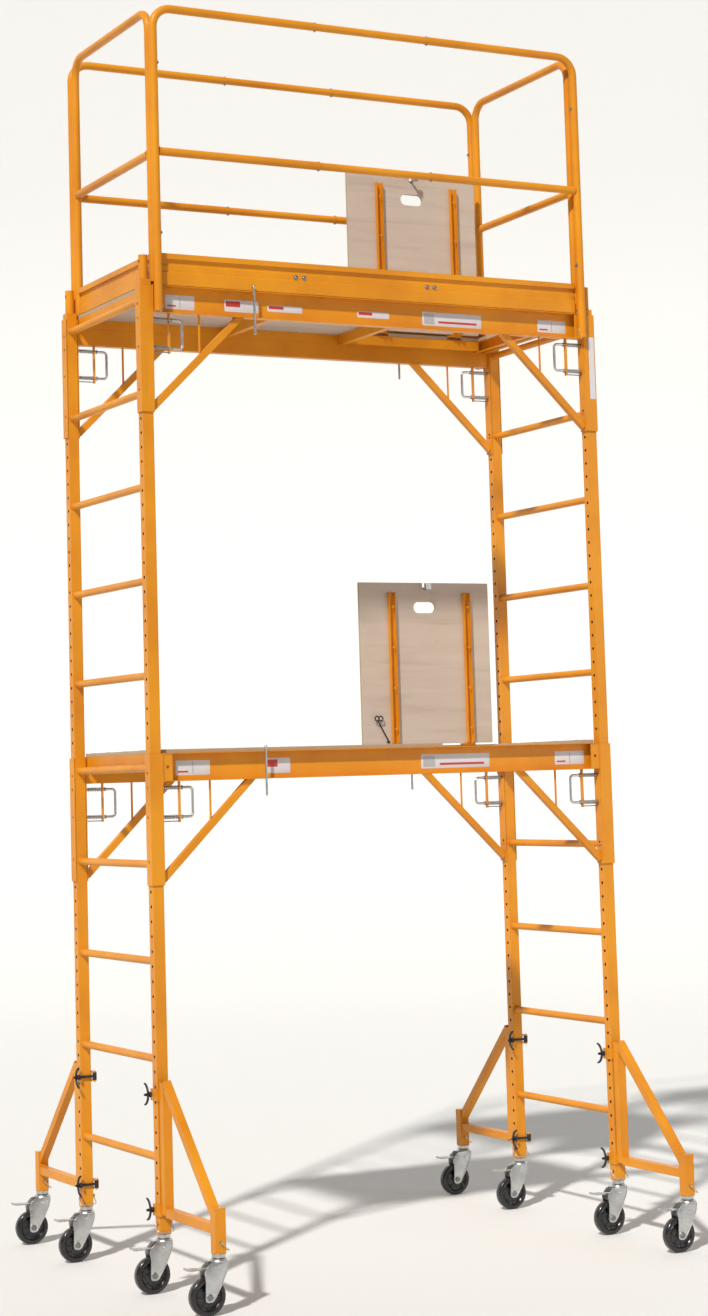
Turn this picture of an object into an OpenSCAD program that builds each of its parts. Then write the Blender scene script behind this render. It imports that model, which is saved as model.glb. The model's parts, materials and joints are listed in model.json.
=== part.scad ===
/* [Ladder frames] */
// Distance between post centres along the length of the scaffold
length_cc = 1847; // [1500:1:2200]
// Distance between post centres across the scaffold
width_cc = 705; // [650:1:900]
// Outside width of the square post
post_w = 40; // [38:1:45]
// Wall of the square post
post_t = 2; // [1.5:0.5:2.5]
// Height of one ladder frame, which is also the stacking step
frame_h = 1646; // [1640:1:1700]
// Height of the first post foot above the ground
foot_z = 195; // [193:1:198]
// Diameter of a rung
rung_d = 27; // [20:1:30]
// Height of the lowest rung above the post foot
rung_first = 251; // [240:1:260]
// Spacing of the rungs
rung_pitch = 331.4; // [310:0.1:332]
// Diameter of the adjustment holes in the posts
hole_d = 11; // [10.6:0.2:12]

/* [Platforms] */
// Height of the lower beam top above the ground
deck_low = 1822; // [1821:1:1823]
// Depth of the side beam
beam_h = 98; // [94:1:104]
// Width of the beam flanges
beam_flange = 32; // [28:1:34]
// Length of a sliding sleeve
sleeve_len = 451; // [440:1:455]
// Thickness of the deck panel
ply_t = 13; // [12:1:15]
// Low end of the hatch along the length
hatch_x0 = 240; // [230:1:260]
// High end of the hatch along the length
hatch_x1 = 826; // [800:1:830]
// Distance of the hatch hinge line behind the centre
hatch_y = 300; // [290:1:305]
// Depth of the hatch, hinge line to free edge
hatch_len = 642; // [600:1:642]

/* [Guard rail] */
// Height of the top rail centre above the upper beam top
rail_top = 1000; // [900:1:1100]
// Height of the middle rail centre above the upper beam top
rail_mid = 478; // [450:1:520]
// Diameter of the rail tube
rail_d = 30; // [28:1:32]
// Height of the toe board
toe_h = 114; // [90:1:120]

/* [Outriggers and casters] */
// Distance of the outrigger caster stem from the centre plane
outrigger_y = 800; // [760:1:850]
// Diameter of a wheel
wheel_d = 125; // [120:1:127]
// Width of a wheel
wheel_w = 32; // [28:1:34]
// Offset of the axle behind the swivel axis
trail = 45; // [40:1:48]

/* [Hidden] */
// shift that centres the whole length, from the pedals to the clamp ears, on the origin
x_mid = 39.25;

hl = length_cc / 2;
hw = width_cc / 2;
paint = [0.94, 0.56, 0.10];
zinc = [0.75, 0.76, 0.78];
hole_pitch = 50.8;
hole_first = 33.8;
gap = 0.05;               // weld gap that keeps welded members separate solids
deck_up = deck_low + frame_h;
spigot_d = 33;
spigot_up = 88;
pin_z = [-120, -221.6];   // lock pin legs below the beam top
sl_out = post_w / 2 + 4.5;
sl_in = post_w / 2 + 1.5;
bx = hl - sl_out;         // beam half length
by0 = sl_out - beam_flange;
loop_x = hl - 145;        // outer bar of a lock pin

// square tube along Z, open at both ends
module sq_tube(w, t, h) {
  difference() {
    translate([-w / 2, -w / 2, 0]) cube([w, w, h]);
    translate([-w / 2 + t, -w / 2 + t, -1]) cube([w - 2 * t, w - 2 * t, h + 2]);
  }
}
module rod(p, q, d) {
  v = q - p;
  l = norm(v);
  translate(p) rotate([0, acos(v[2] / l), atan2(v[1], v[0])]) cylinder(h = l, d = d, $fn = 24);
}
// quarter bend of a tube, centre of curvature at the origin, in the XZ plane, from +X to +Z
module bend(r, d) {
  rotate([90, 0, 0]) rotate_extrude(angle = 90, $fn = 48) translate([r, 0]) circle(d = d, $fn = 24);
}

module ladder_frame(x, z) {
  color(paint) translate([x, 0, z]) {
    for (s = [-1, 1]) translate([0, s * hw, 0]) {
      difference() {
        sq_tube(post_w, post_t, frame_h);
        for (i = [0:31]) translate([-post_w, 0, hole_first + i * hole_pitch]) rotate([0, 90, 0]) cylinder(h = 2 * post_w, d = hole_d, $fn = 24);
      }
      // stacking spigot with its weld plug
      translate([0, 0, frame_h - 6]) difference() {
        union() {
          translate([0, 0, 0]) cylinder(h = spigot_up + 6, d = spigot_d, $fn = 48);
          translate([-post_w / 2 + post_t + gap, -post_w / 2 + post_t + gap, 0]) cube([post_w - 2 * post_t - 2 * gap, post_w - 2 * post_t - 2 * gap, 6]);
        }
        translate([0, 0, -1]) cylinder(h = spigot_up + 10, d = spigot_d - 5, $fn = 48);
        translate([-spigot_d, 0, 6 + spigot_up - 24]) rotate([0, 90, 0]) cylinder(h = 2 * spigot_d, d = hole_d, $fn = 24);
      }
    }
    for (i = [0:4]) translate([0, -hw + post_w / 2 + gap, rung_first + i * rung_pitch]) rotate([-90, 0, 0]) difference() {
      cylinder(h = width_cc - post_w - 2 * gap, d = rung_d, $fn = 32);
      translate([0, 0, -1]) cylinder(h = width_cc, d = rung_d - 3, $fn = 32);
    }
  }
}

cy = 25.5;              // clamp hinge, inwards from the post centre
// outrigger built for the front side (towards -Y), mirrored for the rear
module outrigger_shape() {
  vt = hw + 24;          // inner face of the upright, from the centre plane
  vw = 32;
  ow = 38;
  // upright
  translate([0, -(vt + vw / 2), 262]) sq_tube(vw, 2, 443);
  // arm
  translate([-15, -(outrigger_y - ow / 2 - gap), 256]) difference() {
    cube([30, outrigger_y - ow / 2 - gap - vt - vw - gap, 30]);
    translate([2, -1, 2]) cube([26, outrigger_y, 26]);
  }
  // diagonal
  intersection() {
    a = atan2(692 - 318, outrigger_y - ow / 2 - vt - vw);
    translate([0, -(vt + vw), 692]) rotate([90 + a, 0, 0]) translate([-14, -14, -60]) difference() {
      cube([28, 28, 660]);
      translate([2, 2, -1]) cube([24, 24, 670]);
    }
    translate([-20, -(outrigger_y - ow / 2 - gap), 286 + gap]) cube([40, outrigger_y - ow / 2 - gap - vt - vw - gap, 500]);
  }
  // outer post
  translate([0, -outrigger_y, foot_z]) difference() {
    sq_tube(ow, 2, 143);
    translate([0, 50, 35]) rotate([90, 0, 0]) cylinder(h = 100, d = 9, $fn = 24);
  }
  translate([-ow / 2, -outrigger_y - ow / 2, foot_z + 143 + gap]) cube([ow, ow, 2]);
  // two post collars with hinge ears
  for (z = [274, 660]) translate([0, 0, z]) {
    translate([21, -(vt - gap), -20]) cube([3, 40, 40]);
    translate([-24, -(vt - gap), -20]) difference() {
      cube([3, 56, 40]);
      translate([-1, 43, 14.5]) cube([5, 20, 11]);
    }
    translate([-24, -(vt - gap), -20]) cube([48, 3, 40]);
    for (k = [-1, 1]) translate([0, 0, k * 15.5 - 1.5]) difference() {
      union() {
        translate([24 - 1, -hw, 0]) cube([14, cy, 3]);
        translate([31.5, -hw + cy, 0]) cylinder(h = 3, d = 15, $fn = 32);
      }
      translate([31.5, -hw + cy, -1]) cylinder(h = 5, d = 8, $fn = 32);
    }
    translate([31.5, -hw + cy, -20]) cylinder(h = 40, d = 7.9, $fn = 32);
  }
}
module outrigger(x, s) {
  color(paint) translate([x, 0, 0]) mirror([0, s > 0 ? 1 : 0, 0]) outrigger_shape();
}

// swing bolt, nut and crescent lever of the two collars
module clamp_shape() {
  for (z = [274, 660]) translate([31.5, -hw + cy, z]) {
    difference() {
      union() {
        translate([0, 0, -13.5]) cylinder(h = 27, d = 16, $fn = 32);
        rotate([0, -90, 0]) cylinder(h = 82, d = 9, $fn = 24);
      }
      translate([0, 0, -20]) cylinder(h = 40, d = 8, $fn = 32);
    }
    translate([-56, 0, 0]) rotate([0, -90, 0]) cylinder(h = 10, d = 19, $fn = 6);
    // crescent lever on the nut
    translate([-66, 0, 0]) rotate([0, -90, 0]) difference() {
      translate([0, 30, 0]) cylinder(h = 8, r = 42, $fn = 48);
      translate([0, 46, -1]) cylinder(h = 10, r = 44, $fn = 48);
      translate([-60, 34, -1]) cube([120, 60, 10]);
    }
  }
}
module outrigger_clamps(x, s) {
  color([0.12, 0.12, 0.13]) translate([x, 0, 0]) mirror([0, s > 0 ? 1 : 0, 0]) clamp_shape();
}

stem_xy = [for (x = [-hl, hl]) for (y = [-outrigger_y, -hw, hw, outrigger_y]) [x, y]];
module caster_stems() {
  color(zinc) for (p = stem_xy) translate([p[0], p[1], 0]) difference() {
    union() {
      translate([0, 0, foot_z - 4]) cylinder(h = 130, d = 32, $fn = 48);
      translate([0, 0, foot_z - 12]) cylinder(h = 12 - gap, d = 46, $fn = 48);
    }
    if (abs(p[1]) < 500) translate([-30, 0, foot_z + hole_first]) rotate([0, 90, 0]) cylinder(h = 60, d = 9, $fn = 24);
    else translate([0, 30, foot_z + 35]) rotate([90, 0, 0]) cylinder(h = 60, d = 9, $fn = 24);
  }
}
// one pin through each post foot and stem
module caster_lock_pins() {
  color(zinc) for (p = stem_xy) translate([p[0], p[1], 0]) {
    main = abs(p[1]) < 500;
    translate([0, 0, foot_z + (main ? hole_first : 35)]) rotate([0, 0, main ? 0 : 90]) {
      translate([-27, 0, 0]) rotate([0, 90, 0]) cylinder(h = 54, d = main ? 8.2 : 8.2, $fn = 24);
      translate([27, 0, 0]) rotate([0, 90, 0]) cylinder(h = 5, d = 15, $fn = 24);
    }
  }
}

wheel_z = wheel_d / 2;
module caster_fork(x, y) {
  color(zinc) translate([x, y, 0]) {
    translate([0, 0, 170]) cylinder(h = foot_z - 12 - 0.3 - 170, d = 62, $fn = 48);
    for (s = [-1, 1]) translate([0, s * 21.5 + 1.5, 0]) rotate([90, 0, 0]) difference() {
      linear_extrude(3) polygon([[-26, 172], [24, 172], [20, 140], [-26, 52], [-34, 46], [-56, 46], [-62, 56], [-62, 76], [-40, 130]]);
      translate([-trail, wheel_z, -1]) cylinder(h = 5, d = 12, $fn = 32);
      translate([-6, 150, -1]) cylinder(h = 5, d = 6.1, $fn = 32);
    }
    // axle bolt with head and nut
    translate([-trail, 0, wheel_z]) rotate([90, 0, 0]) {
      translate([0, 0, -26]) cylinder(h = 52, d = 11.9, $fn = 32);
      translate([0, 0, 23 + gap]) cylinder(h = 7, d = 20, $fn = 6);
      translate([0, 0, -30 - gap]) cylinder(h = 7, d = 20, $fn = 6);
    }
  }
}
module caster_wheel(x, y) {
  color([0.06, 0.06, 0.06]) translate([x - trail, y, wheel_z]) rotate([90, 0, 0]) rotate_extrude($fn = 96)
    polygon([[6, -19], [15, -19], [15, -11], [44, -11], [46, -14], [46, -wheel_w / 2], [wheel_d / 2 - 4, -wheel_w / 2], [wheel_d / 2, -wheel_w / 2 + 5],
      [wheel_d / 2, wheel_w / 2 - 5], [wheel_d / 2 - 4, wheel_w / 2], [46, wheel_w / 2], [46, 14], [44, 11], [15, 11], [15, 19], [6, 19]]);
}
module brake_pedal(x, y) {
  color(zinc) translate([x - 6, y, 150]) difference() {
    union() {
      rotate([90, 0, 0]) translate([0, 0, -23.5]) cylinder(h = 47, d = 6, $fn = 32);
      rotate([90, 0, 0]) translate([0, 0, -17]) cylinder(h = 34, d = 12, $fn = 32);
      translate([-70, -17, 1]) cube([70, 34, 3]);
      translate([-112, -24, 1]) cube([44, 48, 3]);
      translate([-112, -24, 1]) cube([3, 48, 9]);
    }
  }
}

// side bracket for the front; the top of its beam is at z = 0
module side_bracket_shape() {
  for (s = [-1, 1]) translate([s * hl, -hw, 0]) mirror([s < 0 ? 1 : 0, 0, 0]) {
    // sleeve, open towards the rungs
    translate([0, 0, -3 - sleeve_len]) difference() {
      translate([-sl_out, -sl_out, 0]) cube([2 * sl_out, sl_out + post_w / 2, sleeve_len]);
      translate([-sl_in, -sl_in, -1]) cube([2 * sl_in, 100, sleeve_len + 2]);
      for (z = [-68.8, pin_z[0], pin_z[1], -374]) translate([-40, 0, 3 + sleeve_len + z]) rotate([0, 90, 0]) cylinder(h = 80, d = hole_d, $fn = 24);
    }
    // brace
    intersection() {
      translate([-sl_out, 0, -436]) rotate([0, -45.5, 0]) translate([-60, -11, 0]) difference() {
        translate([48, 0, 0]) cube([24, 22, 600]);
        translate([50, 2, -1]) cube([20, 18, 610]);
      }
      translate([-500, -20, -450]) cube([500 - sl_out - gap, 40, 450 - beam_h - gap]);
    }
    // guide plate for the lock pin
    translate([-94 - 2, -8, -240]) difference() {
      cube([4, 16, 240 - beam_h - gap]);
      for (z = pin_z) translate([-1, 8, 240 + z]) rotate([0, 90, 0]) cylinder(h = 8, d = hole_d, $fn = 24);
    }
    // hanger rod
    translate([-212, 0, -254]) cylinder(h = 254 - beam_h - gap, d = 8, $fn = 24);
  }
  // beam, a channel open outwards
  translate([-bx + gap, -hw - sl_out, -beam_h]) difference() {
    cube([2 * bx - 2 * gap, beam_flange, beam_h]);
    translate([-1, -1, 3]) cube([2 * bx + 2, beam_flange - 2, beam_h - 6]);
  }
  // end plates of the beam
  for (s = [-1, 1]) translate([s * (bx - 19), -hw - sl_out + 2, -beam_h / 2]) difference() {
    translate([-18.9, 0, -beam_h / 2 + 3 + gap]) cube([37.8, 3, beam_h - 6 - 2 * gap]);
    translate([0, 10, 0]) rotate([90, 0, 0]) cylinder(h = 20, d = 10, $fn = 24);
  }
}
module side_bracket(s, z) {
  color(paint) translate([0, 0, z]) mirror([0, s > 0 ? 1 : 0, 0]) side_bracket_shape();
}

fy = hw + sl_out - beam_flange - 1;     // half width inside the beam webs
hz = ply_t + 2;         // hatch hinge axis above the beam top
bar_x = [366, 706];     // stiffening bars under the hatch
module deck_frame(z) {
  color(paint) translate([0, 0, z]) {
    // ledge angles along the beams
    for (s = [-1, 1]) mirror([0, s < 0 ? 0 : 1, 0]) {
      translate([-bx + 4, -fy, -35]) cube([2 * bx - 8, 3, 35 - gap]);
    }
    // end channels and cross members between the ledge angles
    for (x = [-bx + 4, -300, hatch_x0 - 30, hatch_x1 + 8, bx - 29]) translate([x, -fy + 3 + gap, -40]) difference() {
      cube([25, 2 * fy - 6 - 2 * gap, 40 - gap]);
      translate([x < 300 ? 2 : -2, -1, 2]) cube([25, 2 * fy, 36]);
    }
    // rear hatch member
    translate([hatch_x0 - 5 + gap, hatch_y + 2, -40]) cube([hatch_x1 - hatch_x0 + 13 - 2 * gap, 3, 40 - gap]);
    // pins that lock the deck to the beams
    for (s = [-1, 1]) translate([s * 505, s * (hw + sl_out + 5.5), 0]) {
      translate([0, 0, -158]) cylinder(h = 170, d = 9, $fn = 24);
      translate([0, 0, 14]) sphere(d = 12, $fn = 24);
    }
    // hinge pins of the hatch with their end lugs
    for (x = bar_x) translate([x + 13.5, hatch_y, hz]) {
      translate([-34, 0, 0]) rotate([0, 90, 0]) cylinder(h = 68, d = 4, $fn = 24);
      for (k = [-1, 1]) translate([k * 29 - 4, 0, 0]) difference() {
        union() {
          rotate([0, 90, 0]) cylinder(h = 8, d = 8, $fn = 24);
          translate([0, 0, -4]) cube([8, 24, 2.5]);
        }
        translate([-1, 0, 0]) rotate([0, 90, 0]) cylinder(h = 10, d = 4.1, $fn = 24);
      }
    }
  }
}
module deck_board(z) {
  color([0.72, 0.63, 0.52]) translate([0, 0, z]) difference() {
    translate([-bx + 4, -fy, 0.05]) cube([2 * bx - 8, 2 * fy, ply_t - 0.05]);
    translate([hatch_x0 - 4, hatch_y - hatch_len - 6, -1]) cube([hatch_x1 - hatch_x0 + 8, hatch_len + 6 - 0.5, ply_t + 4]);
    // hinge recesses
    for (x = bar_x) translate([x + 13.5 - 35, hatch_y - 1, hz - 4.6]) cube([70, 26, 10]);
  }
}
// hatch, modelled standing open at its hinge line
module hatch_board(z) {
  color([0.72, 0.63, 0.52]) translate([0, hatch_y, z + hz]) difference() {
    translate([hatch_x0, -ply_t - 1, 5]) cube([hatch_x1 - hatch_x0, ply_t, hatch_len - 5]);
    // hand slot
    translate([(hatch_x0 + hatch_x1) / 2, 1, hatch_len - 98]) rotate([90, 0, 0]) {
      for (k = [-1, 1]) translate([k * 28, 0, -5]) cylinder(h = 30, d = 44, $fn = 32);
      translate([-28, -22, -5]) cube([56, 44, 30]);
    }
    // latch slot
    translate([(hatch_x0 + hatch_x1) / 2 - 8, -40, hatch_len - 28]) cube([16, 60, 40]);
  }
}
module hatch_bars(z) {
  color(paint) translate([0, hatch_y, z + hz]) {
    for (x = bar_x) translate([x, -ply_t - 1.05 - 18, 8]) difference() {
      cube([27, 18, hatch_len - 48]);
      translate([2, -1, -1]) cube([23, 17, hatch_len]);
    }
    // hinge knuckles and leaves
    for (x = bar_x) translate([x + 13.5 - 24, 0, 0]) difference() {
      union() {
        rotate([0, 90, 0]) cylinder(h = 48, d = 8, $fn = 24);
        translate([0, -ply_t - 3.6, 2]) cube([48, ply_t + 3.6, 2]);
        translate([0, -ply_t - 3.6, 2]) cube([48, 2, 5.9]);
      }
      translate([-1, 0, 0]) rotate([0, 90, 0]) cylinder(h = 50, d = 4.1, $fn = 24);
    }
  }
}
module hatch_latch(z) {
  color(zinc) translate([(hatch_x0 + hatch_x1) / 2, hatch_y - ply_t / 2 - 1, z + hz + hatch_len - 22]) {
    rotate([0, 90, 0]) translate([0, 0, -7.5]) cylinder(h = 15, d = 10, $fn = 24);
    translate([-5, -40, -2.5]) cube([10, 38, 5]);
    translate([-12, -44, -6]) cube([24, 5, 24]);
  }
}
// lock pins of one end: z = 0 is the beam top
module lock_pins(s, z) {
  color(zinc) for (sy = [-1, 1]) translate([0, sy * hw, z]) mirror([s < 0 ? 1 : 0, 0, 0]) {
    r = 14;
    for (zz = pin_z) translate([loop_x + r, 0, zz]) rotate([0, 90, 0]) cylinder(h = hl + 22 - loop_x - r, d = 10, $fn = 32);
    translate([loop_x, 0, pin_z[1] + r]) cylinder(h = pin_z[0] - pin_z[1] - 2 * r, d = 10, $fn = 32);
    translate([loop_x + r, 0, pin_z[0] - r]) mirror([1, 0, 0]) bend(r, 10);
    translate([loop_x + r, 0, pin_z[1] + r]) mirror([0, 0, 1]) mirror([1, 0, 0]) bend(r, 10);
  }
}

gx = 884;               // guard rail legs
gy_side = hw + 40;      // plane of the long panels
gy_end = hw;            // legs of the end panels
rr = 70;
// section of a toe board: folded sheet with a lip, a recess under it and a step; the outer face is at 0
module toe_section(h) {
  polygon([[20, 0], [0, 0], [0, h - 68], [5, h - 64], [5, h - 42], [9, h - 38], [9, h - 20], [0, h - 20], [0, h], [20, h],
    [20, h - 2], [2, h - 2], [2, h - 18], [11, h - 18], [11, h - 38.8], [7, h - 42.8], [7, h - 64.9], [2, h - 68.9], [2, 2], [20, 2]]);
}
module end_guard(s) {
  color(paint) translate([s * gx, 0, deck_up]) {
    for (k = [-1, 1]) {
      translate([0, k * gy_end, ply_t + 1]) cylinder(h = rail_top - rr - ply_t - 1, d = rail_d, $fn = 32);
      translate([0, k * (gy_end - rr), rail_top - rr]) rotate([0, 0, k * 90]) bend(rr, rail_d);
    }
    translate([0, -gy_end + rr, rail_top]) rotate([-90, 0, 0]) cylinder(h = 2 * (gy_end - rr), d = rail_d, $fn = 32);
    translate([0, -gy_end + rail_d / 2 + gap, rail_mid]) rotate([-90, 0, 0]) cylinder(h = 2 * gy_end - rail_d - 2 * gap, d = rail_d, $fn = 32);
    // toe board
    mirror([s < 0 ? 0 : 1, 0, 0]) translate([-10, gy_end - 18, ply_t + 2]) rotate([90, 0, 0])
      linear_extrude(height = 2 * gy_end - 36) toe_section(toe_h - ply_t);
  }
}
seam = [-283, 260];
module side_guard(s) {
  color(paint) translate([0, s * gy_side, deck_up]) {
    for (k = [-1, 1]) {
      translate([k * gx, 0, -96]) cylinder(h = rail_top - rr + 96, d = rail_d, $fn = 32);
      translate([k * (gx - rr), 0, rail_top - rr]) rotate([0, 0, k < 0 ? 180 : 0]) bend(rr, rail_d);
      translate([k < 0 ? -gx + rr : 236, 0, rail_top]) rotate([0, 90, 0]) cylinder(h = gx - rr - 236, d = rail_d, $fn = 32);
      translate([k < 0 ? -gx + rail_d / 2 + gap : 236, 0, rail_mid]) rotate([0, 90, 0]) cylinder(h = gx - rail_d / 2 - gap - 236, d = rail_d, $fn = 32);
    }
    for (z = [rail_top, rail_mid]) {
      translate([-236 + gap, 0, z]) rotate([0, 90, 0]) cylinder(h = 472 - 2 * gap, d = rail_d - 2, $fn = 32);
    }
    // toe boards in three lengths
    mirror([0, s < 0 ? 0 : 1, 0]) translate([0, 18, 2]) for (p = [[-gx + 16, seam[0] - gap], [seam[0] + gap, seam[1] - gap], [seam[1] + gap, gx - 16]])
      translate([p[0], 0, 0]) rotate([90, 0, 90]) linear_extrude(height = p[1] - p[0]) toe_section(toe_h);
  }
}

translate([x_mid, 0, 0]) {
  ladder_frame(-hl, foot_z);  // frame_lower_left
  ladder_frame(hl, foot_z);  // frame_lower_right
  ladder_frame(-hl, foot_z + frame_h);  // frame_upper_left
  ladder_frame(hl, foot_z + frame_h);  // frame_upper_right
  outrigger(-hl, -1);  // outrigger_front_left
  outrigger(-hl, 1);  // outrigger_rear_left
  outrigger(hl, -1);  // outrigger_front_right
  outrigger(hl, 1);  // outrigger_rear_right
  outrigger_clamps(-hl, -1);  // clamps_front_left
  outrigger_clamps(-hl, 1);  // clamps_rear_left
  outrigger_clamps(hl, -1);  // clamps_front_right
  outrigger_clamps(hl, 1);  // clamps_rear_right
  caster_stems();
  caster_lock_pins();
  caster_fork(-hl, -hw);  // fork_main_front_left
  caster_fork(-hl, hw);  // fork_main_rear_left
  caster_fork(hl, -hw);  // fork_main_front_right
  caster_fork(hl, hw);  // fork_main_rear_right
  caster_fork(-hl, -outrigger_y);  // fork_outer_front_left
  caster_fork(-hl, outrigger_y);  // fork_outer_rear_left
  caster_fork(hl, -outrigger_y);  // fork_outer_front_right
  caster_fork(hl, outrigger_y);  // fork_outer_rear_right
  caster_wheel(-hl, -hw);  // wheel_main_front_left
  caster_wheel(-hl, hw);  // wheel_main_rear_left
  caster_wheel(hl, -hw);  // wheel_main_front_right
  caster_wheel(hl, hw);  // wheel_main_rear_right
  caster_wheel(-hl, -outrigger_y);  // wheel_outer_front_left
  caster_wheel(-hl, outrigger_y);  // wheel_outer_rear_left
  caster_wheel(hl, -outrigger_y);  // wheel_outer_front_right
  caster_wheel(hl, outrigger_y);  // wheel_outer_rear_right
  brake_pedal(-hl, -hw);  // brake_main_front_left
  brake_pedal(-hl, hw);  // brake_main_rear_left
  brake_pedal(hl, -hw);  // brake_main_front_right
  brake_pedal(hl, hw);  // brake_main_rear_right
  brake_pedal(-hl, -outrigger_y);  // brake_outer_front_left
  brake_pedal(-hl, outrigger_y);  // brake_outer_rear_left
  brake_pedal(hl, -outrigger_y);  // brake_outer_front_right
  brake_pedal(hl, outrigger_y);  // brake_outer_rear_right
  side_bracket(-1, deck_low);  // side_bracket_front_lower
  side_bracket(1, deck_low);  // side_bracket_rear_lower
  deck_frame(deck_low);  // deck_frame_lower
  deck_board(deck_low);  // deck_board_lower
  lock_pins(-1, deck_low);  // lock_pins_left_lower
  lock_pins(1, deck_low);  // lock_pins_right_lower
  hatch_board(deck_low);  // hatch_board_lower
  hatch_bars(deck_low);  // hatch_bars_lower
  hatch_latch(deck_low);  // hatch_latch_lower
  side_bracket(-1, deck_up);  // side_bracket_front_upper
  side_bracket(1, deck_up);  // side_bracket_rear_upper
  deck_frame(deck_up);  // deck_frame_upper
  deck_board(deck_up);  // deck_board_upper
  lock_pins(-1, deck_up);  // lock_pins_left_upper
  lock_pins(1, deck_up);  // lock_pins_right_upper
  hatch_board(deck_up);  // hatch_board_upper
  hatch_bars(deck_up);  // hatch_bars_upper
  hatch_latch(deck_up);  // hatch_latch_upper
  end_guard(-1);  // guardrail_left_end
  end_guard(1);  // guardrail_right_end
  side_guard(-1);  // guardrail_front
  side_guard(1);  // guardrail_rear
}
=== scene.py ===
import math
import random

import bmesh
import bpy
from mathutils import Matrix, Vector
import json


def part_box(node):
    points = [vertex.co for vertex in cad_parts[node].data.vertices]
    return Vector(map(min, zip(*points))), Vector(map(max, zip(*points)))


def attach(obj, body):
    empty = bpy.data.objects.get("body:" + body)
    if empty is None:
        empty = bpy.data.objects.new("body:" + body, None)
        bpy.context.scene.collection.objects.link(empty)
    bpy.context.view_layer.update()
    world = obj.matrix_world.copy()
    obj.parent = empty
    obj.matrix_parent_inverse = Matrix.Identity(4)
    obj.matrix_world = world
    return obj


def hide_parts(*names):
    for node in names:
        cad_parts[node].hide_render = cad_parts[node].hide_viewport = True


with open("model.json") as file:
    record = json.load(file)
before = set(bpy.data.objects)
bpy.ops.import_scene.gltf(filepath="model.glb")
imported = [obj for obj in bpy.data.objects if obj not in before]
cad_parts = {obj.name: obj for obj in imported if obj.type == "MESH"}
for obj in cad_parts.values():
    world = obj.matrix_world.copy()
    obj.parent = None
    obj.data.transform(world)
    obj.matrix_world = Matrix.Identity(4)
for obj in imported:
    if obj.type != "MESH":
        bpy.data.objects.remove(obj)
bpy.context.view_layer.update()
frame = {"nodes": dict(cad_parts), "record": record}
NODES = frame["nodes"]
rnd = random.Random(7)

# ---------------------------------------------------------------- positions taken from the frame
b0, b1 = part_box("frame_lower_left")
XL = (b0.x + b1.x) / 2
b0, b1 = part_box("frame_lower_right")
XR = (b0.x + b1.x) / 2
XM = (XL + XR) / 2
HL = (XR - XL) / 2
b0, b1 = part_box("frame_lower_left")
HW = (b1.y - b0.y) / 2 - 0.020
FOOT = b0.z
FRAME_H = 1.646
ZD = {"lower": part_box("side_bracket_front_lower")[1].z, "upper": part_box("side_bracket_front_upper")[1].z}
b0, b1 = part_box("wheel_outer_front_left")
OY = -(b0.y + b1.y) / 2
WR = (b1.z - b0.z) / 2
CORNERS = [("front_left", XL, -1), ("rear_left", XL, 1), ("front_right", XR, -1), ("rear_right", XR, 1)]


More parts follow.
